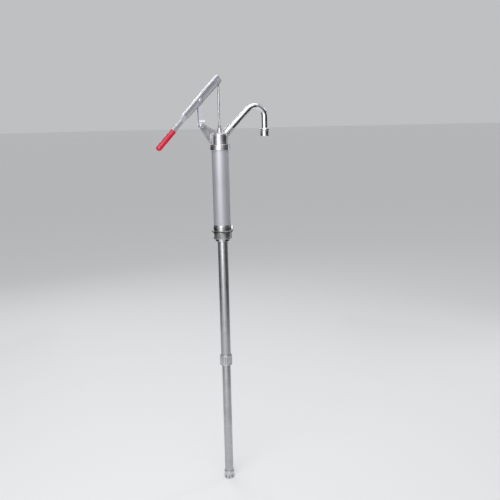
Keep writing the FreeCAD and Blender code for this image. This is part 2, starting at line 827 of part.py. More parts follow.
def bolt_hexagon(across, low, high):
    """A hexagon on the link's bolt, facing -Y."""
    body = hexagon(across, low, high)
    body.rotate(V(), X, 90)
    body.translate(link_pivot)
    return body


def link_bolt():
    head_low = link_outer + washer_t
    head = bolt_hexagon(bolt_head_af, head_low, head_low + bolt_head_t)
    tail = link_outer + washer_t + link_nut_t + bolt_tail
    return fuse_all([head, bar_y(link_pivot, arm_bolt_r, -head_low - over_cut, tail)])


def link_washers():
    washer = ring_y(link_pivot, washer_r, arm_bolt_r, link_outer, link_outer + washer_t)
    return Part.makeCompound([washer, mirror_y(washer)])


def link_nut():
    low = link_outer + washer_t
    nut = mirror_y(bolt_hexagon(bolt_head_af, low, low + link_nut_t))
    return nut.cut(bar_y(link_pivot, arm_bolt_r, 0, low + link_nut_t + over_cut))


# ---- suction tube --------------------------------------------------------------------------------
lower_tube_r = upper_tube_r - upper_tube_wall - telescope_gap
tube_nut_r = upper_tube_r + tube_nut_wall
strainer_r = lower_tube_r - strainer_step + strainer_side
seal_low = upper_tube_low - tube_seal_t
lower_tube_high = upper_tube_low + side_gap + stop_ring_t + stop_ring_inset
strainer_top = tube_foot + strainer_h + strainer_grip


def upper_suction_tube():
    return tube(upper_tube_r, upper_tube_r - upper_tube_wall, upper_tube_low, seat_web_low)


def tube_seal():
    return tube(upper_tube_r, lower_tube_r + 0.05, seal_low, upper_tube_low)


def tube_nut():
    high = upper_tube_low + tube_nut_grip
    low = seal_low - tube_nut_lip
    hole_r = lower_tube_r + running
    body = turned([(upper_tube_r, high), (tube_nut_r, high), (tube_nut_r, low), (hole_r, low),
                   (hole_r, seal_low), (upper_tube_r, seal_low)], {1: 1.0, 2: 1.0})
    notch = Part.makeCylinder(tube_nut_notch_r, high - low - 2 * tube_nut_notch_inset,
                              V(tube_nut_r + tube_nut_notch_r / 2, 0, low + tube_nut_notch_inset))
    for cut in turn_copies(notch, tube_nut_notches):
        body = body.cut(cut)
    return body


def lower_suction_tube():
    return tube(lower_tube_r, lower_tube_r - lower_tube_wall, tube_foot + strainer_h, lower_tube_high)


def tube_stop_ring():
    low = upper_tube_low + side_gap
    return tube(upper_tube_r - upper_tube_wall - running, lower_tube_r, low, low + stop_ring_t)


def strainer():
    """A slotted cap on the foot of the tube."""
    floor = tube_foot + strainer_wall
    seat = tube_foot + strainer_h
    inner_r = strainer_r - strainer_side
    body = turned([(0, tube_foot), (strainer_r, tube_foot), (strainer_r, strainer_top),
                   (lower_tube_r, strainer_top), (lower_tube_r, seat), (inner_r, seat),
                   (inner_r, floor), (0, floor)], {1: 1.0, 2: 1.0})
    slot = Part.makeBox(strainer_side + 2 * over_cut, slot_w, slot_h,
                        V(inner_r - over_cut, -slot_w / 2, tube_foot + slot_rise))
    hole = Part.makeCylinder(strainer_hole_r, strainer_wall + 2 * over_cut,
                             V(strainer_r / 2, 0, tube_foot - over_cut))
    for cut in turn_copies(slot, slot_count) + turn_copies(hole, strainer_holes):
        body = body.cut(cut)
    return body


PIECES = [drum_gasket, bung_adapter, thumb_screw, pump_base, foot_valve_seat, foot_valve_disc,
          foot_valve_cage, cylinder, head_gasket, head_ring, pump_head, gland_washer, rod_packing,
          packing_nut, spout_tube, nozzle, spout_seal, spout_nut, piston_rod, rod_eye, piston_body,
          piston_cup, cup_retainer, piston_nuts, piston_valve_disc, lever, grip, fulcrum_rivets, rod_pin,
          rod_pin_clip, rod_spacers, link, link_bolt, link_washers, link_nut, upper_suction_tube,
          tube_seal, tube_nut, lower_suction_tube, tube_stop_ring, strainer]

for piece in PIECES:
    shape = piece()
    shape.exportStep("parts/" + piece.__name__ + ".step")
    box = shape.BoundBox
    print("%-20s solids %d valid %s volume %9.1f  z %.1f to %.1f" % (
        piece.__name__, len(shape.Solids), shape.isValid(), shape.Volume, box.ZMin, box.ZMax))
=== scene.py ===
"""Looks of the lever-action drum pump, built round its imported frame. Lengths are in metres."""
import json
import math
import bmesh
import bpy
from mathutils import Matrix, Vector

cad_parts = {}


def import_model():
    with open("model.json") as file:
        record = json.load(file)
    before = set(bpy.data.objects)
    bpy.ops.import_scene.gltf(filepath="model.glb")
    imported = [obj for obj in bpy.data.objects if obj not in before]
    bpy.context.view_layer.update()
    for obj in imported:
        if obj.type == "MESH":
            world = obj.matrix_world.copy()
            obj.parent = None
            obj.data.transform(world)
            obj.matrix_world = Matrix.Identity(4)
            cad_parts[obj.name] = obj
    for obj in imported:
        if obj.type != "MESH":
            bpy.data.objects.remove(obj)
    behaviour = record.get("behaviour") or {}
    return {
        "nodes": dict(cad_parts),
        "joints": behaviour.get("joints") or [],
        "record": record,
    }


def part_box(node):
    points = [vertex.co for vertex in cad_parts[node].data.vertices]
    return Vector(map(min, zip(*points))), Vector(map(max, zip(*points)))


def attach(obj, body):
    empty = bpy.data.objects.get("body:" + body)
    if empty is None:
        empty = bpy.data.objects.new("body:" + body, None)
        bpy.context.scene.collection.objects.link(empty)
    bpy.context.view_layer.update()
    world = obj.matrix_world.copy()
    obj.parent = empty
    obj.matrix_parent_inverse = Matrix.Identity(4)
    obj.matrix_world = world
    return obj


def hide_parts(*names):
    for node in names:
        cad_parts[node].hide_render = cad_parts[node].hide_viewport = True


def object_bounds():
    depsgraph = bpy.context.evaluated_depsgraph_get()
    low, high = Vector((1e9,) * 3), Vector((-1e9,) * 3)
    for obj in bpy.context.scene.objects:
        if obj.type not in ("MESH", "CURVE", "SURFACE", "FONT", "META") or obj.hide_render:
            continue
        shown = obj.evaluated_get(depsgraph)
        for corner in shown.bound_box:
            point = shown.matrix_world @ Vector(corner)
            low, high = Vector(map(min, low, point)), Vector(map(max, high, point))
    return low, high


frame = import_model()
cad_low, cad_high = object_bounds()
MM = 0.001
UP = Vector((0, 0, 1))
SAME_POINT = 1e-7       # vertices closer than this are one
CAD_WELD = 1e-6         # the same, for the meshes of CAD nodes
joints = {j["name"]: j for j in frame["joints"]}


def joint_point(name):
    return Vector(joints[name]["pos_m"])


def middle_of(node):
    low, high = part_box(node)
    return (low + high) / 2


link_pivot = joint_point("link_swing")
fulcrum = middle_of("fulcrum_rivets")
spout_origin = joint_point("spout_swivel")
spout_axis = Vector(joints["spout_swivel"]["axis"]).normalized()


# ---- mesh helpers --------------------------------------------------------------------------------
def rounded(points, radii, steps=5):
    """The corners of a closed outline rounded by their own radii, as a list of 2D points."""
    corners = [Vector(p) for p in points]
    count = len(corners)
    out = []
    for i, corner in enumerate(corners):
        radius = radii.get(i, 0)
        if not radius:
            out.append(corner)
            continue
        before = (corners[i - 1] - corner).normalized()
        after = (corners[(i + 1) % count] - corner).normalized()
        half = math.acos(max(-1, min(1, before.dot(after)))) / 2
        centre = corner + (before + after).normalized() * (radius / math.sin(half))
        start = corner + before * (radius / math.tan(half)) - centre
        end = corner + after * (radius / math.tan(half)) - centre
        turn = start.angle_signed(end)
        for k in range(steps + 1):
            a = -turn * k / steps
            out.append(centre + Vector((start.x * math.cos(a) - start.y * math.sin(a),
                                        start.x * math.sin(a) + start.y * math.cos(a))))
    return out


def finish_mesh(name, bm, sharp=35):
    """A smooth-shaded object whose edges are sharp where its faces meet at more than sharp degrees."""
    bmesh.ops.remove_doubles(bm, verts=bm.verts, dist=SAME_POINT)
    bmesh.ops.recalc_face_normals(bm, faces=bm.faces)
    limit = math.radians(sharp)
    for face in bm.faces:
        face.smooth = True
    for edge in bm.edges:
        edge.smooth = not (len(edge.link_faces) == 2 and edge.calc_face_angle(0) > limit)
    mesh = bpy.data.meshes.new(name)
    bm.to_mesh(mesh)
    bm.free()
    obj = bpy.data.objects.new(name, mesh)
    bpy.context.scene.collection.objects.link(obj)
    return obj


def axis_matrix(origin, direction):
    """Places a piece made along Z on another axis."""
    rotation = Vector(direction).to_track_quat("Z", "Y").to_matrix().to_4x4()
    return Matrix.Translation(Vector(origin)) @ rotation


def lathe_into(bm, points, segments, swell):
    """Turns a closed (radius, height) outline about Z. Points on the axis become one vertex."""
    rings = []
    for r, z in points:
        if r < SAME_POINT:
            rings.append([bm.verts.new((0, 0, z))])
            continue
        ring = []
        for k in range(segments):
            a = 2 * math.pi * k / segments
            radius = r * (swell(a, z, r) if swell else 1)
            ring.append(bm.verts.new((radius * math.cos(a), radius * math.sin(a), z)))
        rings.append(ring)
    for i, ring in enumerate(rings):
        nxt = rings[(i + 1) % len(rings)]
        if len(ring) == 1 and len(nxt) == 1:
            continue
        for k in range(segments):
            m = (k + 1) % segments
            here = [ring[k % len(ring)], ring[m % len(ring)]]
            there = [nxt[m % len(nxt)], nxt[k % len(nxt)]]
            unique = list(dict.fromkeys(here + there))
            if len(unique) > 2:
                bm.faces.new(unique)


def lathe(name, points, radii, origin=(0, 0, 0), direction=UP, segments=96, swell=None, steps=5):
    """A turned piece: its (radius, height) outline, the radii of its corners, its place and its axis."""
    bm = bmesh.new()
    lathe_into(bm, rounded(points, radii, steps), segments, swell)
    bm.transform(axis_matrix(origin, direction))
    return finish_mesh(name, bm)


def hexagon_piece(name, across, low, high, hole, origin=(0, 0, 0), direction=UP):
    """A hexagonal nut or head: its corners are cut back by a cone at both ends."""
    bm = bmesh.new()
    segments = 96
    flat = across / 2
    land = flat * 0.96                  # radius at which the cone starts
    cone_slope = 0.5
    deepest = (high - low) * 0.3        # the cone goes no further down a corner
    rings = [[], [], [], [], [], []]
    for k in range(segments):
        a = 2 * math.pi * k / segments
        corner = flat / math.cos(a % (math.pi / 3) - math.pi / 6)
        cut = min((corner - land) * cone_slope, deepest)
        outline = ((hole, low), (land, low), (corner, low + cut),
                   (corner, high - cut), (land, high), (hole, high))
        for ring, (r, z) in zip(rings, outline):
            ring.append(bm.verts.new((r * math.cos(a), r * math.sin(a), z)))
    for one, two in zip(rings, rings[1:] + rings[:1]):
        if not hole and one is rings[-1]:
            continue
        for k in range(segments):
            m = (k + 1) % segments
            bm.faces.new([one[k], one[m], two[m], two[k]])
    bmesh.ops.remove_doubles(bm, verts=bm.verts, dist=SAME_POINT)
    bm.transform(axis_matrix(origin, direction))
    return finish_mesh(name, bm, sharp=16)


def thread_piece(name, crest, depth, pitch, low, high, origin, direction, segments, bore=0):
    """A helical thread that runs out at both ends."""
    rows_per_turn = 8
    rows = round((high - low) / (pitch / rows_per_turn))
    bore_side = crest * 0.97            # what lies inside this radius stays round

    def wave(angle, z, radius):
        if radius < bore_side:
            return 1.0
        phase = (z / pitch - angle / (2 * math.pi)) % 1
        fade = smooth_step((z - low) / pitch) * smooth_step((high - z) / pitch)
        return 1 - depth / crest * ((1 - fade) + fade * abs(2 * phase - 1))

    side = [(crest, low + (high - low) * k / rows) for k in range(rows + 1)]
    points = [(bore, low)] + side + [(bore, high)]
    bm = bmesh.new()
    lathe_into(bm, [Vector(p) for p in points], segments, wave)
    bm.transform(axis_matrix(origin, direction))
    return finish_mesh(name, bm, sharp=60)


def smooth_step(value):
    """0 to 1, with a soft start and end."""
    value = max(0.0, min(1.0, value))
    return value * value * (3 - 2 * value)


def apply_modifiers(obj):
    """Freezes an object's modifiers into its mesh."""
    graph = bpy.context.evaluated_depsgraph_get()
    mesh = bpy.data.meshes.new_from_object(obj.evaluated_get(graph))
    obj.modifiers.clear()
    obj.data = mesh
    return obj


def bevelled(obj, width, segments):
    """Small rounded edges, as on a real machined or pressed piece."""
    mod = obj.modifiers.new("bevel", "BEVEL")
    mod.width = width
    mod.segments = segments
    mod.limit_method = "ANGLE"
    mod.angle_limit = math.radians(30)
    return apply_modifiers(obj)


def cast_copy(name, node, voxel, rounds):
    """A copy of a CAD node with the soft edges and fillets of a casting or pressing."""
    source = frame["nodes"][node]
    obj = bpy.data.objects.new(name, source.data.copy())
    obj.data.materials.clear()
    bpy.context.scene.collection.objects.link(obj)
    weld = obj.modifiers.new("weld", "WELD")
    weld.merge_threshold = CAD_WELD
    remesh = obj.modifiers.new("remesh", "REMESH")
    remesh.mode = "VOXEL"
    remesh.voxel_size = voxel
    remesh.use_smooth_shade = True
    smooth = obj.modifiers.new("smooth", "SMOOTH")
    smooth.factor = 0.5
    smooth.iterations = rounds
    # the remesh is finer than the shapes need
    thin = obj.modifiers.new("thin", "DECIMATE")
    thin.ratio = 0.5
    apply_modifiers(obj)
    for poly in obj.data.polygons:
        poly.use_smooth = True
    return obj


def soft_cad(name, node, width, segments=2):
    """A copy of a CAD node with small bevels."""
    bm = bmesh.new()
    bm.from_mesh(frame["nodes"][node].data)
    bmesh.ops.remove_doubles(bm, verts=bm.verts, dist=CAD_WELD)
    bmesh.ops.dissolve_limit(bm, angle_limit=math.radians(1.0), verts=bm.verts, edges=bm.edges)
    obj = finish_mesh(name, bm)
    obj.data.materials.clear()
    return bevelled(obj, width, segments)


def place(obj, body, node, material):
    """Rides a piece on its body, in place of its CAD node, with a material."""
    obj.data.materials.clear()
    obj.data.materials.append(material)
    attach(obj, body)
    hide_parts(node)


# ---- materials -----------------------------------------------------------------------------------
class Nodes:
    """A short way to write a node material."""

    def __init__(self, name, slot_name):
        self.material = bpy.data.materials.new(name)
        self.material["slot"] = slot_name
        self.material.use_nodes = True
        self.tree = self.material.node_tree
        self.shader = self.tree.nodes["Principled BSDF"]
        self.coords = self.add("ShaderNodeTexCoord").outputs["Object"]

    def add(self, kind, **settings):
        node = self.tree.nodes.new(kind)
        for key, value in settings.items():
            setattr(node, key, value)
        return node

    def link(self, a, b):
        self.tree.links.new(a, b)

    def feed(self, socket, value):
        """Gives a socket a number, a colour, or another node's output."""
        if isinstance(value, (int, float)):
            socket.default_value = value
        elif isinstance(value, tuple):
            socket.default_value = (*value, 1)
        else:
            self.link(value, socket)

    def stretched(self, scale):
        """The piece's own coordinates, scaled along each axis."""
        mapping = self.add("ShaderNodeMapping")
        mapping.inputs["Scale"].default_value = scale
        self.link(self.coords, mapping.inputs["Vector"])
        return mapping.outputs["Vector"]

    def noise(self, scale, detail=4, roughness=0.5, coords=None, distortion=0.0):
        node = self.add("ShaderNodeTexNoise")
        node.inputs["Scale"].default_value = scale
        node.inputs["Detail"].default_value = detail
        node.inputs["Roughness"].default_value = roughness
        node.inputs["Distortion"].default_value = distortion
        self.link(coords or self.coords, node.inputs["Vector"])
        return node.outputs["Fac"]

    def cells(self, scale, feature="F1", output="Distance", coords=None):
        node = self.add("ShaderNodeTexVoronoi", feature=feature)
        node.inputs["Scale"].default_value = scale
        self.link(coords or self.coords, node.inputs["Vector"])
        return node.outputs[output]

    def span(self, value, low, high, from_low, from_high):
        """Low to high as the value goes from from_low to from_high."""
        node = self.add("ShaderNodeMapRange")
        node.inputs["From Min"].default_value = from_low
        node.inputs["From Max"].default_value = from_high
        node.inputs["To Min"].default_value = low
        node.inputs["To Max"].default_value = high
        self.link(value, node.inputs["Value"])
        return node.outputs["Result"]

    def blend_colors(self, factor, a, b):
        node = self.add("ShaderNodeMix", data_type="RGBA")
        color_a, color_b, color_out = node.inputs[6], node.inputs[7], node.outputs[2]
        self.link(factor, node.inputs["Factor"])
        self.feed(color_a, a)
        self.feed(color_b, b)
        return color_out

    def math(self, operation, a, b):
        node = self.add("ShaderNodeMath", operation=operation)
        self.feed(node.inputs[0], a)
        self.feed(node.inputs[1], b)
        return node.outputs[0]

    def bump(self, height, strength, distance):
        node = self.add("ShaderNodeBump")
        node.inputs["Strength"].default_value = strength
        node.inputs["Distance"].default_value = distance
        self.link(height, node.inputs["Height"])
        return node.outputs["Normal"]

    def finish(self, color, roughness, normal, metallic, **fixed):
        """Feeds the shader. Fixed values are named by their sockets, with _ for a space."""
        inputs = self.shader.inputs
        self.feed(inputs["Base Color"], color)
        self.feed(inputs["Roughness"], roughness)
        self.feed(inputs["Normal"], normal)
        self.feed(inputs["Metallic"], metallic)
        for key, value in fixed.items():
            inputs[key.replace("_", " ")].default_value = value
        return self.material


def edge_wear(n):
    """1 on convex edges, 0 elsewhere."""
    flat, edge = 0.50, 0.62
    point = n.add("ShaderNodeNewGeometry").outputs["Pointiness"]
    return n.span(point, 0, 1, flat, edge)


def toned(tone, color):
    return tuple(part * tone for part in color)


def satin_paint():
    """Silver-grey satin paint with a fine orange peel and faint handling marks."""
    n = Nodes("satin_paint", "cylinder_paint")
    cloud = n.noise(9, 3)
    fine = n.noise(900, 2)
    streak = n.noise(26, 5, 0.6, n.stretched((1, 1, 0.06)))
    base = n.blend_colors(n.span(cloud, 0, 1, 0.3, 0.7), (0.50, 0.505, 0.55), (0.56, 0.565, 0.61))
    color = n.blend_colors(n.span(streak, 0, 0.25, 0.55, 0.8), base, (0.62, 0.625, 0.66))
    rough = n.span(streak, 0.46, 0.58, 0.3, 0.75)
    return n.finish(color, rough, n.bump(fine, 0.12, 0.0002), 0.5, Coat_Weight=0.06, Coat_Roughness=0.35)


def cast_alloy(name="cast_alloy", tone=1.0, rough_low=0.30, grain_depth=0.20):
    """Die-cast alloy: fine grain, cloudy stains, brighter rubbed edges."""
    n = Nodes(name, "cast_alloy")
    grain = n.noise(1400, 3, 0.7)
    pits = n.cells(520)
    cloud = n.noise(38, 5, 0.6)
    dark = toned(tone, (0.46, 0.455, 0.475))
    light = toned(tone, (0.60, 0.595, 0.62))
    base = n.blend_colors(n.span(cloud, 0, 1, 0.35, 0.65), dark, light)
    worn = n.blend_colors(edge_wear(n), base, (0.78, 0.78, 0.80))
    height = n.math("ADD", n.math("MULTIPLY", grain, 0.6), n.math("MULTIPLY", pits, 0.5))
    rough = n.span(cloud, rough_low, rough_low + 0.12, 0.3, 0.7)
    return n.finish(worn, rough, n.bump(height, grain_depth, 0.0003), 0.95)


def zinc_sheet(name="zinc_sheet", tone=1.0, metal=0.85):
    """Bright zinc plate on pressed sheet: fine spangle, rolling lines and a cool tint."""
    n = Nodes(name, "zinc_sheet")
    split = n.add("ShaderNodeSeparateColor")
    n.link(n.cells(420, output="Color"), split.inputs[0])
    lines = n.noise(40, 4, 0.6, n.stretched((1, 60, 1)))
    blotch = n.noise(75, 5, 0.6)
    dark = toned(tone, (0.43, 0.445, 0.48))
    light = toned(tone, (0.52, 0.54, 0.58))
    stain = toned(tone, (0.36, 0.37, 0.40))
    base = n.blend_colors(split.outputs[0], dark, light)
    dull = n.blend_colors(n.span(blotch, 0, 0.7, 0.42, 0.72), base, stain)
    color = n.blend_colors(edge_wear(n), dull, (0.84, 0.86, 0.90))
    height = n.math("ADD", n.noise(900, 3, 0.6), n.math("MULTIPLY", lines, 0.4))
    rough = n.span(blotch, 0.26, 0.40, 0.3, 0.7)
    return n.finish(color, rough, n.bump(height, 0.12, 0.0003), metal)


def chrome(name="chrome", rough_low=0.045):
    """Mirror chrome with faint smears and dust."""
    n = Nodes(name, "chrome")
    smear = n.noise(60, 5, 0.65, distortion=0.6)
    dust = n.noise(900, 2)
    color = n.blend_colors(n.span(smear, 0, 1, 0.4, 0.75), (0.80, 0.81, 0.82), (0.70, 0.71, 0.73))
    rough = n.span(smear, rough_low, rough_low + 0.10, 0.45, 0.8)
    return n.finish(color, rough, n.bump(dust, 0.03, 0.0001), 1.0)


def plated_steel(name="plated_steel", tone=1.0, rough_low=0.16):
    """Turned steel with a bright plate: fine turning marks and light wear on edges."""
    n = Nodes(name, "plated_steel")
    marks = n.noise(420, 4, 0.6, n.stretched((1, 1, 6)))
    cloud = n.noise(70, 4)
    dark = toned(tone, (0.50, 0.51, 0.53))
    light = toned(tone, (0.66, 0.67, 0.69))
    base = n.blend_colors(n.span(cloud, 0, 1, 0.35, 0.7), dark, light)
    color = n.blend_colors(edge_wear(n), base, (0.86, 0.86, 0.87))
    rough = n.span(cloud, rough_low, rough_low + 0.16, 0.3, 0.7)
    return n.finish(color, rough, n.bump(marks, 0.12, 0.0002), 1.0)


def tube_steel():
    """Galvanised tube: soft spangle, long drawing lines and some dull patches."""
    n = Nodes("tube_steel", "tube_steel")
    split = n.add("ShaderNodeSeparateColor")
    n.link(n.cells(330, output="Color", coords=n.stretched((1, 1, 0.5))), split.inputs[0])
    lines = n.noise(160, 4, 0.6, n.stretched((1, 1, 0.02)))
    patch = n.noise(14, 4, 0.6)
    base = n.blend_colors(split.outputs[0], (0.45, 0.46, 0.475), (0.52, 0.53, 0.545))
    color = n.blend_colors(n.span(patch, 0, 0.7, 0.5, 0.75), base, (0.40, 0.405, 0.41))
    rough = n.span(patch, 0.30, 0.46, 0.3, 0.7)
    return n.finish(color, rough, n.bump(lines, 0.15, 0.0003), 0.95)


def machined_iron():
    """Machined fitting with a dull nickel finish and darker roots."""
    n = Nodes("machined_iron", "machined_iron")
    marks = n.noise(300, 3, 0.6, n.stretched((1, 1, 10)))
    cloud = n.noise(48, 5, 0.6)
    base = n.blend_colors(n.span(cloud, 0, 1, 0.35, 0.65), (0.33, 0.33, 0.335), (0.46, 0.46, 0.465))
    color = n.blend_colors(edge_wear(n), base, (0.74, 0.74, 0.74))
    rough = n.span(cloud, 0.26, 0.42, 0.3, 0.7)
    return n.finish(color, rough, n.bump(marks, 0.18, 0.0002), 1.0)


def brass():
    """Turned brass, duller in clouds."""
    n = Nodes("brass", "brass")
    cloud = n.noise(90, 4)
    marks = n.noise(380, 3, 0.6, n.stretched((1, 1, 8)))
    color = n.blend_colors(n.span(cloud, 0, 1, 0.3, 0.7), (0.58, 0.41, 0.16), (0.75, 0.57, 0.27))
    rough = n.span(cloud, 0.2, 0.36, 0.3, 0.7)
    return n.finish(color, rough, n.bump(marks, 0.1, 0.0002), 1.0)


def black_rubber():
    """Matt black rubber with a fine grain."""
    n = Nodes("black_rubber", "black_rubber")
    grain = n.noise(900, 3, 0.6)
    cloud = n.noise(60, 4)
    color = n.blend_colors(n.span(cloud, 0, 1, 0.3, 0.7), (0.022, 0.022, 0.024), (0.05, 0.05, 0.052))
    rough = n.span(cloud, 0.55, 0.75, 0.3, 0.7)
    return n.finish(color, rough, n.bump(grain, 0.25, 0.0003), 0.0)


def leather():
    """Oiled leather of the piston's cup."""
    n = Nodes("leather", "leather")
    grain = n.cells(420, feature="DISTANCE_TO_EDGE")
    cloud = n.noise(50, 4)
    color = n.blend_colors(n.span(cloud, 0, 1, 0.3, 0.7), (0.17, 0.095, 0.05), (0.30, 0.18, 0.10))
    return n.finish(color, 0.6, n.bump(grain, 0.3, 0.0003), 0.0)


def braid():
    """Woven packing."""
    n = Nodes("braid", "packing")
    weave = n.noise(600, 2, 0.5, n.stretched((1, 1, 3)))
    color = n.blend_colors(weave, (0.40, 0.36, 0.28), (0.62, 0.57, 0.46))
    return n.finish(color, 0.8, n.bump(weave, 0.5, 0.0004), 0.0)


def red_vinyl():
    """Glossy red vinyl sleeve: slight mottling, fine grain and softened marks."""
    n = Nodes("red_vinyl", "red_vinyl")
    cloud = n.noise(45, 5, 0.6)
    grain = n.noise(1100, 2)
    scuff = n.noise(130, 5, 0.7)
    base = n.blend_colors(n.span(cloud, 0, 1, 0.3, 0.7), (0.53, 0.008, 0.035), (0.66, 0.016, 0.058))
    color = n.blend_colors(n.span(scuff, 0, 0.30, 0.62, 0.78), base, (0.80, 0.12, 0.17))
    height = n.math("ADD", n.math("MULTIPLY", grain, 0.3), cloud)
    rough = n.span(scuff, 0.26, 0.42, 0.4, 0.75)
    return n.finish(color, rough, n.bump(height, 0.15, 0.0003), 0.0, Coat_Weight=0.3, Coat_Roughness=0.12)


PAINT = satin_paint()
CAST = cast_alloy()
ZINC = zinc_sheet()
CHROME = chrome()
STEEL = plated_steel()
TUBE = tube_steel()
IRON = machined_iron()
BRASS = brass()
RUBBER = black_rubber()
LEATHER = leather()
BRAID = braid()
VINYL = red_vinyl()
SOFT_CHROME = chrome("soft_chrome", rough_low=0.17)
ROD_STEEL = plated_steel("rod_steel", tone=0.8, rough_low=0.22)
BRIGHT_CAST = cast_alloy("bright_cast", tone=1.22, rough_low=0.22, grain_depth=0.08)
# a paler, less metallic copy of the zinc: on the link it paints the highlight of the light from the front
PAINTED_LIT_ZINC = zinc_sheet("painted_lit_zinc", tone=1.55, metal=0.6)
SLOT_MATERIALS = (PAINT, CAST, ZINC, CHROME, STEEL, TUBE, IRON, BRASS, RUBBER, LEATHER, BRAID, VINYL)
BY_SLOT = {material["slot"]: material for material in SLOT_MATERIALS}

# every CAD node gets its slot's material; those that no piece replaces are seen in it
for entry in frame["record"]["subparts"]:
    node = frame["nodes"][entry["node"]]
    node.data.materials.clear()
    node.data.materials.append(BY_SLOT[entry["material_slot"]])


# ---- sizes that several pieces share -------------------------------------------------------------
LEVER_ANGLE = 47.1              # slope of the lever at rest, degrees
PIPE_HOLE_R = 9.6 * MM          # hole that the spout's pipe goes into
GASKET_WIDTH = 3.2 * MM
RELIEF = 1 * MM                 # plain ring between the bung's thread and its flange


def size_of(node):
    """(largest radius about the pump's axis, lowest z, highest z) of a turned CAD node."""
    low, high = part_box(node)
    return (high.y - low.y) / 2, low.z, high.z


# ---- cylinder, ring and head ---------------------------------------------------------------------
def cylinder_tube():
    """Painted tube with slightly rounded ends."""
    r, low, high = size_of("cylinder")
    wall, lip = 1.6 * MM, 0.5 * MM
    tube = lathe("cylinder_tube", [(r - wall, low), (r, low), (r, high), (r - wall, high)],
                 {1: lip, 2: lip}, segments=160)
    place(tube, "pump", "cylinder", PAINT)


def coupling_ring():
    """Ring with bevelled edges, a groove round it and a lip over the head's flange."""
    r, low, high = size_of("head_ring")
    inner = size_of("cylinder")[0]
    neck, flange = 25.5 * MM, 29.0 * MM         # radii of the head where the ring holds it
    recess_low, recess_high = low + 10 * MM, high - 3.5 * MM
    groove = high - 6.0 * MM
    depth, half, bevel = 0.6 * MM, 0.7 * MM, 0.9 * MM
    root = half * 0.3
    points = [(inner, low), (r - bevel, low), (r, low + bevel), (r, groove - half),
              (r - depth, groove - root), (r - depth, groove + root), (r, groove + half),
              (r, high - bevel), (r - bevel, high), (neck, high), (neck, recess_high),
              (flange, recess_high), (flange, recess_low), (inner, recess_low)]
    radii = {1: 0.5 * MM, 2: 0.6 * MM, 3: 0.3 * MM, 6: 0.3 * MM, 7: 0.6 * MM, 8: 0.5 * MM, 9: 0.2 * MM}
    place(lathe("coupling_ring", points, radii, segments=160, steps=3), "pump", "head_ring", BRIGHT_CAST)


def head_casting():
    """Dome, bracket arm and spout socket in one casting."""
    head = cast_copy("head_casting", "pump_head", voxel=0.55 * MM, rounds=5)
    place(head, "pump", "pump_head", CAST)


def packing_nut():
    """Hexagon round the rod on top of the head's boss."""
    across, height, running = 9.6 * MM, 7.0 * MM, 0.07 * MM
    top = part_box("packing_nut")[1].z
    hole = size_of("piston_rod")[0] + running
    nut = hexagon_piece("gland_nut", across, top - height, top, hole)
    place(nut, "pump", "packing_nut", STEEL)


# ---- rod -----------------------------------------------------------------------------------------
def piston_rod():
    r, low, high = size_of("piston_rod")
    end = 0.6 * MM
    rod = lathe("polished_rod", [(0, low), (r, low), (r, high), (0, high)], {1: end, 2: end}, segments=48)
    place(rod, "rod", "piston_rod", ROD_STEEL)


# ---- lever, grip and link ------------------------------------------------------------------------
def lever_axes():
    """The lever's own axes at rest: along it towards its top end, and square to its web."""
    angle = math.radians(LEVER_ANGLE)
    along = Vector((math.cos(angle), 0, math.sin(angle)))
    square = Vector((-math.sin(angle), 0, math.cos(angle)))
    return along, square


def press_panels(obj):
    """Presses a shallow plain panel with round ends into each cheek, above and below the rivet."""
    along, square = lever_axes()
    depth, slope = 0.32 * MM, 2.0 * MM
    cheek = 8.8 * MM                    # what lies further out than this is a cheek
    # start, end and half width of each panel, from the fulcrum
    panels = [((16 * MM, 1.2 * MM), (70 * MM, 0.4 * MM), 5.8 * MM),
              ((-60 * MM, 2.6 * MM), (-16 * MM, 2.2 * MM), 5.0 * MM)]
    for vertex in obj.data.vertices:
        if abs(vertex.co.y) < cheek:
            continue
        local = vertex.co - fulcrum
        point = Vector((local.dot(along), local.dot(square)))
        for start, end, radius in panels:
            start, end = Vector(start), Vector(end)
            span = end - start
            nearest = start + span * max(0, min(1, (point - start).dot(span) / span.length_squared))
            inside = smooth_step((radius - (point - nearest).length) / slope)
            vertex.co.y -= math.copysign(depth * inside, vertex.co.y)
    obj.data.update()


def lever_pressing():
    """Channel of pressed sheet with its two panels."""
    lever = cast_copy("lever_pressing", "lever", voxel=0.45 * MM, rounds=4)
    press_panels(lever)
    place(lever, "lever", "lever", ZINC)


def vinyl_grip():
    """Dipped sleeve: beaded mouth, three faint rings, and a soft round end."""
    along, square = lever_axes()
    r, bead_r, inner = 9.3 * MM, 9.9 * MM, 5.7 * MM
    length, bead, hollow = 79 * MM, 4 * MM, 2 * MM
    from_fulcrum, above = 123.5 * MM, 1.6 * MM
    mouth = fulcrum - along * from_fulcrum + square * above
    end_radius, ring_radius = 8.4 * MM, 1.2 * MM
    ring_depth, ring_pitch, ring_half = 0.35 * MM, 5.0 * MM, 1.1 * MM
    points = [(0, -length), (r, -length)]
    radii = {1: end_radius}
    for k in (3, 2, 1):
        z = -bead - k * ring_pitch
        points += [(r, z - ring_half), (r - ring_depth, z), (r, z + ring_half)]
        for back in (1, 2, 3):
            radii[len(points) - back] = ring_radius
    first = len(points)
    points += [(r, -bead), (bead_r, -bead * 0.75), (bead_r, 0), (inner, 0), (inner, -hollow), (0, -hollow)]
    radii.update({first: 0.6 * MM, first + 1: 0.8 * MM, first + 2: 1.1 * MM, first + 3: 0.6 * MM})
    grip = lathe("vinyl_grip", points, radii, mouth, along, segments=96)
    place(grip, "lever", "grip", VINYL)


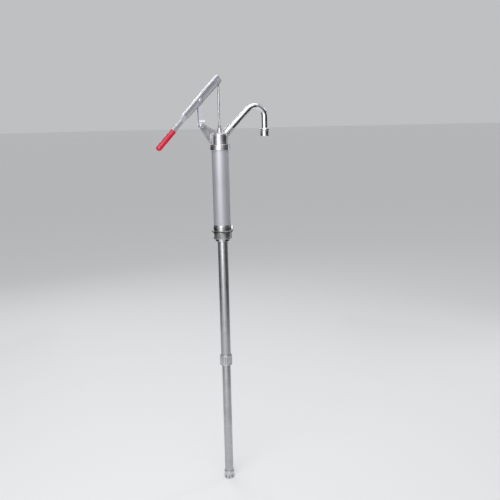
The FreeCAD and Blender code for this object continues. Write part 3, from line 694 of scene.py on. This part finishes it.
def rivet_heads():
    """On each cheek a domed rivet head with a dimple, and the shank behind it."""
    low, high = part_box("fulcrum_rivets")
    r = (high.z - low.z) / 2
    head_t, shank_in = 1.7 * MM, 1.8 * MM
    outer = high.y
    inner = outer - head_t
    shank_r, shank_end = 3.2 * MM, inner - shank_in
    dimple, depth = 2.0 * MM, 1.0 * MM
    points = [(0, shank_end), (shank_r, shank_end), (shank_r, inner), (r, inner), (r, outer - 0.7 * MM),
              (r - 1.4 * MM, outer), (dimple, outer), (dimple - 0.5 * MM, outer - depth), (0, outer - depth)]
    radii = {4: 0.5 * MM, 5: 0.8 * MM, 6: 0.4 * MM, 7: 0.3 * MM}
    for side, name in ((1, "rivet_far"), (-1, "rivet_near")):
        rivet = lathe(name, points, radii, (fulcrum.x, 0, fulcrum.z), (0, side, 0), segments=64)
        place(rivet, "lever", "fulcrum_rivets", STEEL)


def link_pressing():
    link = soft_cad("link_pressing", "link", 0.45 * MM, segments=3)
    # the link wears the paler zinc, a painted highlight of the light from the front
    place(link, "link", "link", PAINTED_LIT_ZINC)


def link_fasteners():
    """Hexagon head and nut with chamfered corners, and the thread that stands past the nut."""
    bolt_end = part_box("link_bolt")[1].y
    nut_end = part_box("link_nut")[1].y
    washer_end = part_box("link_washers")[1].y
    across, head_t = 12.5 * MM, 5.0 * MM
    centre = Vector((link_pivot.x, 0, link_pivot.z))
    near, far = (0, -1, 0), (0, 1, 0)
    head = hexagon_piece("bolt_head", across, washer_end, washer_end + head_t, 0, centre, near)
    place(head, "link", "link_bolt", STEEL)
    r, pitch, root = 4.0 * MM, 1.25 * MM, 0.5 * MM
    shank = thread_piece("bolt_thread", r, root, pitch, -washer_end, bolt_end, centre, far, 48)
    place(shank, "link", "link_bolt", STEEL)
    nut = hexagon_piece("bolt_nut", across, washer_end, nut_end, r - root, centre, far)
    place(nut, "link", "link_nut", STEEL)


# ---- spout ---------------------------------------------------------------------------------------
def spout_line():
    """Centre line of the pipe: sloping run, bend and vertical leg, worked out from the frame."""
    low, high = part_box("spout_tube")
    nozzle_low, nozzle_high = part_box("nozzle")
    pipe_r = (high.y - low.y) / 2
    leg_x = (nozzle_low.x + nozzle_high.x) / 2
    slope, reach = spout_axis.z / spout_axis.x, 1 / spout_axis.x
    run = leg_x - spout_origin.x
    bend_r = (spout_origin.z + run * slope + pipe_r - high.z) / (slope + reach - 1)
    centre = Vector((leg_x - bend_r, 0, spout_origin.z + (run - bend_r) * slope - bend_r * reach))
    left = Vector((-spout_axis.z, 0, spout_axis.x))
    start_angle = math.atan2(left.z, left.x)
    nut_depth, nozzle_depth, steps = 26 * MM, 11 * MM, 48
    points = [spout_origin + spout_axis * nut_depth]
    for k in range(steps + 1):
        a = start_angle * (1 - k / steps)
        points.append(centre + Vector((math.cos(a), 0, math.sin(a))) * bend_r)
    points.append(Vector((leg_x, 0, nozzle_high.z - nozzle_depth)))
    return points, pipe_r


def swept_tube(name, points, radius, inner):
    """A tube along a line in the XZ plane, with flat ends."""
    bm = bmesh.new()
    segments = 64
    across = Vector((0, 1, 0))
    rows = {radius: [], inner: []}
    for i, point in enumerate(points):
        direction = (points[min(i + 1, len(points) - 1)] - points[max(i - 1, 0)]).normalized()
        side = direction.cross(across).normalized()
        for r, rings in rows.items():
            rings.append([bm.verts.new(point + (across * math.cos(a) + side * math.sin(a)) * r)
                          for a in (2 * math.pi * k / segments for k in range(segments))])
    for rings in rows.values():
        for one, two in zip(rings, rings[1:]):
            for k in range(segments):
                m = (k + 1) % segments
                bm.faces.new([one[k], one[m], two[m], two[k]])
    for end in (0, -1):
        outer_ring, inner_ring = rows[radius][end], rows[inner][end]
        for k in range(segments):
            m = (k + 1) % segments
            bm.faces.new([outer_ring[k], outer_ring[m], inner_ring[m], inner_ring[k]])
    return finish_mesh(name, bm)


def spout_pipe():
    points, pipe_r = spout_line()
    wall = 1.2 * MM
    place(swept_tube("spout_pipe", points, pipe_r, pipe_r - wall), "spout", "spout_tube", CHROME)


def nozzle_fitting():
    """Flange with a rounded rim over a plain body with a bevelled mouth."""
    low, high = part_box("nozzle")
    flange_r = (high.y - low.y) / 2
    centre = middle_of("nozzle")
    top, bottom = high.z, low.z
    flange_t, mouth_r, socket_depth = 9 * MM, 8.6 * MM, 12 * MM
    body_r = flange_r - 1.2 * MM
    neck_r = body_r - 0.8 * MM
    under = top - flange_t
    points = [(mouth_r, bottom), (body_r, bottom), (body_r, under - 1.2 * MM), (neck_r, under - 0.6 * MM),
              (neck_r, under), (flange_r, under), (flange_r, top), (PIPE_HOLE_R + 1.5 * MM, top),
              (PIPE_HOLE_R, top), (PIPE_HOLE_R, top - socket_depth), (mouth_r, top - socket_depth)]
    radii = {0: 0.5 * MM, 1: 1.2 * MM, 2: 0.3 * MM, 3: 0.2 * MM, 5: 4.0 * MM, 6: 4.2 * MM}
    nozzle = lathe("nozzle_fitting", points, radii, (centre.x, 0, 0), UP, segments=128)
    place(nozzle, "spout", "nozzle", CHROME)


def spout_nut():
    """Coupling nut with four rounded grooves turned round it."""
    low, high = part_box("spout_nut")
    along = (high + low) / 2 - spout_origin
    middle = along.dot(spout_axis)
    r = (high.y - low.y) / 2
    half = (high.z - low.z - 2 * r * spout_axis.x) / (2 * spout_axis.z)
    start, end = middle - half, middle + half
    count, depth, width, thread_r = 4, 0.8 * MM, 1.7 * MM, 10.9 * MM
    root = width * 0.35
    points = [(thread_r, start), (r, start)]
    radii = {1: 1.0 * MM}
    for k in range(1, count + 1):
        s = start + k * (end - start) / (count + 1)
        points += [(r, s - width), (r - depth, s - root), (r - depth, s + root), (r, s + width)]
        for back in (1, 2, 3, 4):
            radii[len(points) - back] = 0.35 * MM
    radii[len(points)] = 2.0 * MM
    points += [(r, end), (PIPE_HOLE_R, end), (PIPE_HOLE_R, start)]
    nut = lathe("coupling_nut", points, radii, spout_origin, spout_axis, segments=128, steps=3)
    place(nut, "pump", "spout_nut", SOFT_CHROME)


# ---- bung adapter, base and thumb screw ----------------------------------------------------------
def bung_fitting():
    """Threaded sleeve, hexagonal flange and round collar."""
    low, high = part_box("bung_adapter")
    gasket_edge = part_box("drum_gasket")[1]
    gasket_high = gasket_edge.z
    collar_r, bore, relief_r = 28.0 * MM, 22.07 * MM, 29.0 * MM
    flange_t, bevel, inner_bevel = 3.0 * MM, 1.0 * MM, 0.4 * MM
    step = gasket_high + RELIEF
    outline = [(bore, -RELIEF), (relief_r, -RELIEF), (relief_r, step), (collar_r, step), (collar_r, high.z),
               (bore, high.z)]
    collar = lathe("adapter_collar", outline, {4: bevel, 5: inner_bevel}, segments=128)
    place(collar, "bung", "bung_adapter", IRON)
    crest, pitch, root = gasket_edge.x - GASKET_WIDTH, 2.21 * MM, 1.25 * MM
    thread = thread_piece("adapter_thread", crest, root, pitch, low.z, -RELIEF, (0, 0, 0), UP, 144, bore)
    place(thread, "bung", "bung_adapter", IRON)
    across = high.y - low.y
    hole = collar_r - RELIEF
    flange = hexagon_piece("adapter_flange", across, gasket_high, gasket_high + flange_t, hole)
    place(flange, "bung", "bung_adapter", IRON)


def gasket():
    r, low, high = size_of("drum_gasket")
    inner = r - GASKET_WIDTH
    soft = 0.9 * MM
    ring = lathe("rubber_gasket", [(inner, low), (r, low), (r, high), (inner, high)],
                 {0: soft, 1: soft, 2: soft, 3: soft}, segments=128)
    place(ring, "bung", "drum_gasket", RUBBER)


def thumb_screw():
    """Knurled head with a dished face, a neck and a shank into the collar."""
    axis = Vector(joints["thumb_screw_turn"]["axis"]).normalized()
    origin = Vector((0, 0, joint_point("thumb_screw_turn").z))
    # places along the screw, from the pump's axis outwards
    point, shank_out, neck_in, face, end = 22.4 * MM, 27.9 * MM, 28.3 * MM, 30.0 * MM, 34.5 * MM
    shank_r, neck_r, r = 3 * MM, 4.2 * MM, 7.0 * MM
    rim_r, dish_r, dish_floor_r = r * 0.92, r * 0.62, r * 0.5
    ridges, ridge_depth, plain, bevel = 26, 0.06, 0.4 * MM, 0.5 * MM
    knurl_from = r * 0.93

    def knurl(angle, z, radius):
        if radius < knurl_from or z < face + plain or z > end - plain:
            return 1.0
        return 1.0 - ridge_depth * abs(math.sin(ridges * angle / 2)) ** 3

    points = [(0, point), (shank_r, point), (shank_r, shank_out), (neck_r, neck_in), (neck_r, face),
              (r * 0.9, face), (r, face + bevel), (r, end - bevel), (rim_r, end), (dish_r, end),
              (dish_floor_r, end - 0.7 * MM), (0, end - 0.9 * MM)]
    radii = {3: 0.3 * MM, 5: 0.4 * MM, 6: 0.3 * MM, 7: 0.3 * MM, 8: 0.4 * MM, 9: 0.5 * MM, 10: 0.5 * MM}
    screw = lathe("knurled_screw", points, radii, origin, axis, segments=208, swell=knurl)
    place(screw, "thumb", "thumb_screw", STEEL)


def turned_base():
    place(soft_cad("turned_base", "pump_base", 0.4 * MM), "pump", "pump_base", STEEL)


# ---- suction tube --------------------------------------------------------------------------------
def suction_tube(name, node, body, wall):
    """One of the two telescoping tubes."""
    r, low, high = size_of(node)
    lip = 0.4 * MM
    outline = [(r - wall, low), (r, low), (r, high), (r - wall, high)]
    place(lathe(name, outline, {1: lip, 2: lip}, segments=128), body, node, TUBE)


def suction_tubes():
    suction_tube("upper_tube", "upper_suction_tube", "pump", 1.4 * MM)
    suction_tube("lower_tube", "lower_suction_tube", "drop_tube", 1.3 * MM)


def tube_nut():
    """Clamping nut with finger notches round its middle."""
    r, low, high = size_of("tube_nut")
    bore, upper_bore, step = 14.1 * MM, 16.0 * MM, low + 6 * MM
    notches, notch_depth, inset, fade = 16, 0.07, 4 * MM, 0.8 * MM
    bore_side = r * 0.98                # what lies inside this radius stays round

    def notch(angle, z, radius):
        if radius < bore_side:
            return 1.0
        zone = smooth_step((z - low - inset) / fade) * smooth_step((high - inset - z) / fade)
        return 1.0 - notch_depth * zone * max(0.0, math.cos(notches * angle)) ** 4

    rows = 24
    side = [(r, low + (high - low) * k / rows) for k in range(rows + 1)]
    points = [(bore, low)] + side + [(upper_bore, high), (upper_bore, step), (bore, step)]
    radii = {1: 1.0 * MM, rows + 1: 1.0 * MM}
    nut = lathe("notched_nut", points, radii, segments=192, swell=notch)
    place(nut, "pump", "tube_nut", CAST)


def foot_strainer():
    place(soft_cad("foot_strainer", "strainer", 0.25 * MM), "drop_tube", "strainer", CAST)


def small_fittings():
    """Turned and stamped pieces that keep their CAD shape, with their edges broken."""
    fittings = (("rod_eye", "rod", 0.35 * MM), ("rod_pin", "lever", 0.3 * MM),
                ("rod_pin_clip", "lever", 0.12 * MM), ("rod_spacers", "lever", 0.2 * MM),
                ("link_washers", "link", 0.25 * MM))
    for node, body, edge in fittings:
        place(soft_cad("soft_" + node, node, edge), body, node, STEEL)


for build in (cylinder_tube, coupling_ring, head_casting, packing_nut, piston_rod, lever_pressing, vinyl_grip,
              rivet_heads, link_pressing, link_fasteners, spout_pipe, nozzle_fitting, spout_nut, bung_fitting,
              gasket, thumb_screw, turned_base, suction_tubes, tube_nut, foot_strainer, small_fittings):
    build()


# ---- floor, light and camera ---------------------------------------------------------------------
BACKDROP = (0.52, 0.525, 0.535)     # what the camera and the metal see behind the object
AMBIENT = 0.32                      # soft light from all round
FLOOR_LIFT = 0.36                   # keeps the floor as pale as the backdrop
FLOOR_HALF = 60.0
FLOOR_GAP = 0.0005                  # between the strainer's foot and the floor
CARD_HIGH, CARD_TOP = 0.8, 2.6      # tops of the dark cards and of the one above them


def seen_directly(tree):
    """1 for rays that show the surroundings: from the camera, in gloss, or through glass."""
    path = tree.nodes.new("ShaderNodeLightPath")
    either = None
    for name in ("Is Camera Ray", "Is Glossy Ray", "Is Transmission Ray"):
        if either is None:
            either = path.outputs[name]
            continue
        larger = tree.nodes.new("ShaderNodeMath")
        larger.operation = "MAXIMUM"
        tree.links.new(either, larger.inputs[0])
        tree.links.new(path.outputs[name], larger.inputs[1])
        either = larger.outputs[0]
    return either


def floor():
    """Pale matt floor. Its glow is only seen directly, so it lights nothing."""
    mesh = bpy.data.meshes.new("floor")
    half, level = FLOOR_HALF, cad_low.z - FLOOR_GAP
    corners = [(-half, -half, level), (half, -half, level), (half, half, level), (-half, half, level)]
    mesh.from_pydata(corners, [], [(0, 1, 2, 3)])
    obj = bpy.data.objects.new("floor", mesh)
    bpy.context.scene.collection.objects.link(obj)
    material = bpy.data.materials.new("floor_paint")
    material.use_nodes = True
    tree = material.node_tree
    shader = tree.nodes["Principled BSDF"]
    shader.inputs["Base Color"].default_value = (0.74, 0.745, 0.75, 1)
    shader.inputs["Roughness"].default_value = 0.7
    shader.inputs["Emission Color"].default_value = (*BACKDROP, 1)
    strength = tree.nodes.new("ShaderNodeMath")
    strength.operation = "MULTIPLY"
    strength.inputs[1].default_value = FLOOR_LIFT
    tree.links.new(seen_directly(tree), strength.inputs[0])
    tree.links.new(strength.outputs[0], shader.inputs["Emission Strength"])
    mesh.materials.append(material)


def around(azimuth, distance, height):
    """A place round the object: azimuth 0 is in front of it (-Y) and grows towards +X."""
    a = math.radians(azimuth)
    return Vector((math.sin(a) * distance, -math.cos(a) * distance, height))


def area_light(name, location, target, size, power, spread=180):
    """A soft box that faces the target. Size in metres, power in watts, spread in degrees."""
    data = bpy.data.lights.new(name, "AREA")
    data.shape = "RECTANGLE"
    data.size, data.size_y = size
    data.energy = power
    data.spread = math.radians(spread)
    obj = bpy.data.objects.new(name, data)
    obj.location = location
    obj.rotation_mode = "QUATERNION"
    obj.rotation_quaternion = (Vector(target) - Vector(location)).to_track_quat("-Z", "Y")
    obj.visible_camera = False
    bpy.context.scene.collection.objects.link(obj)


def dark_card(name, azimuth, distance, half_width, low, high, material):
    """A dark studio card that is only seen as a reflection in the metal."""
    middle = around(azimuth, distance, 0)
    side = around(azimuth + 90, half_width, 0)
    left, right = middle - side, middle + side
    corners = [left + UP * low, right + UP * low, right + UP * high, left + UP * high]
    mesh = bpy.data.meshes.new(name)
    mesh.from_pydata([tuple(c) for c in corners], [], [(0, 1, 2, 3)])
    mesh.materials.append(material)
    obj = bpy.data.objects.new(name, mesh)
    bpy.context.scene.collection.objects.link(obj)
    obj.visible_camera = False
    obj.visible_diffuse = False
    obj.visible_shadow = False


def dark_cards():
    """Cards at the sides and behind, which give the metal its dark edges."""
    material = bpy.data.materials.new("card_cloth")
    material.use_nodes = True
    shader = material.node_tree.nodes["Principled BSDF"]
    shader.inputs["Base Color"].default_value = (0.03, 0.03, 0.032, 1)
    shader.inputs["Roughness"].default_value = 0.9
    low = cad_low.z
    dark_card("card_right", 42, 1.3, 0.50, low, CARD_HIGH, material)
    dark_card("card_side", 84, 1.3, 0.50, low, CARD_HIGH, material)
    dark_card("card_left", -107, 1.5, 0.78, low, CARD_HIGH, material)
    dark_card("card_far_right", 132, 2.0, 0.45, low, CARD_HIGH, material)
    dark_card("card_far_left", -149, 2.0, 0.62, low, CARD_HIGH, material)
    dark_card("card_high_far_left", -150, 1.5, 0.6, CARD_HIGH, CARD_TOP, material)


def world():
    """The pale backdrop where it is seen directly, and dimmer light from all round elsewhere."""
    made = bpy.data.worlds.new("studio")
    made.use_nodes = True
    tree = made.node_tree
    background = tree.nodes["Background"]
    background.inputs["Color"].default_value = (*BACKDROP, 1)
    strength = tree.nodes.new("ShaderNodeMapRange")
    strength.inputs["To Min"].default_value = AMBIENT / BACKDROP[1]
    strength.inputs["To Max"].default_value = 1.0
    tree.links.new(seen_directly(tree), strength.inputs["Value"])
    tree.links.new(strength.outputs["Result"], background.inputs["Strength"])
    bpy.context.scene.world = made


def camera():
    """Eye a little above the head, the pump left of the middle, tipped slightly as it stands in the drum."""
    azimuth, pitch, roll = math.radians(-17.0), math.radians(10.7), math.radians(-1.26)
    eye = Vector((-0.5885, -2.2229, 0.3721))
    back = Vector((math.sin(azimuth) * math.cos(pitch),
                   -math.cos(azimuth) * math.cos(pitch),
                   math.sin(pitch)))
    right = (-back).cross(UP).normalized()
    up = right.cross(-back)
    tilted_right = right * math.cos(roll) + up * math.sin(roll)
    tilted_up = up * math.cos(roll) - right * math.sin(roll)
    data = bpy.data.cameras.new("camera")
    data.sensor_width = 36.0
    data.lens = 52.2
    data.clip_start = 0.05
    data.clip_end = 60
    obj = bpy.data.objects.new("camera", data)
    rotation = Matrix((tilted_right, tilted_up, back)).transposed().to_4x4()
    obj.matrix_world = Matrix.Translation(eye) @ rotation
    bpy.context.scene.collection.objects.link(obj)
    bpy.context.scene.camera = obj


floor()
world()
dark_cards()
area_light("key", around(-32, 2.5, 0.50), (0, 0, 0.2), (1.6, 2.0), 11, 110)
area_light("high_front", around(-22, 1.6, 2.0), (0, 0, 0.3), (2.3, 1.7), 24)
area_light("top", (0, 0.1, 2.2), (0, 0, 0.2), (2.4, 1.8), 17)
area_light("back", (-0.68, 2.8, 1.30), (0, 0, 0.4), (1.7, 0.9), 16)
area_light("side", around(108, 2.2, 0.7), (0, 0, 0.2), (0.3, 1.8), 5)
camera()
bpy.context.scene.view_settings.view_transform = "Standard"
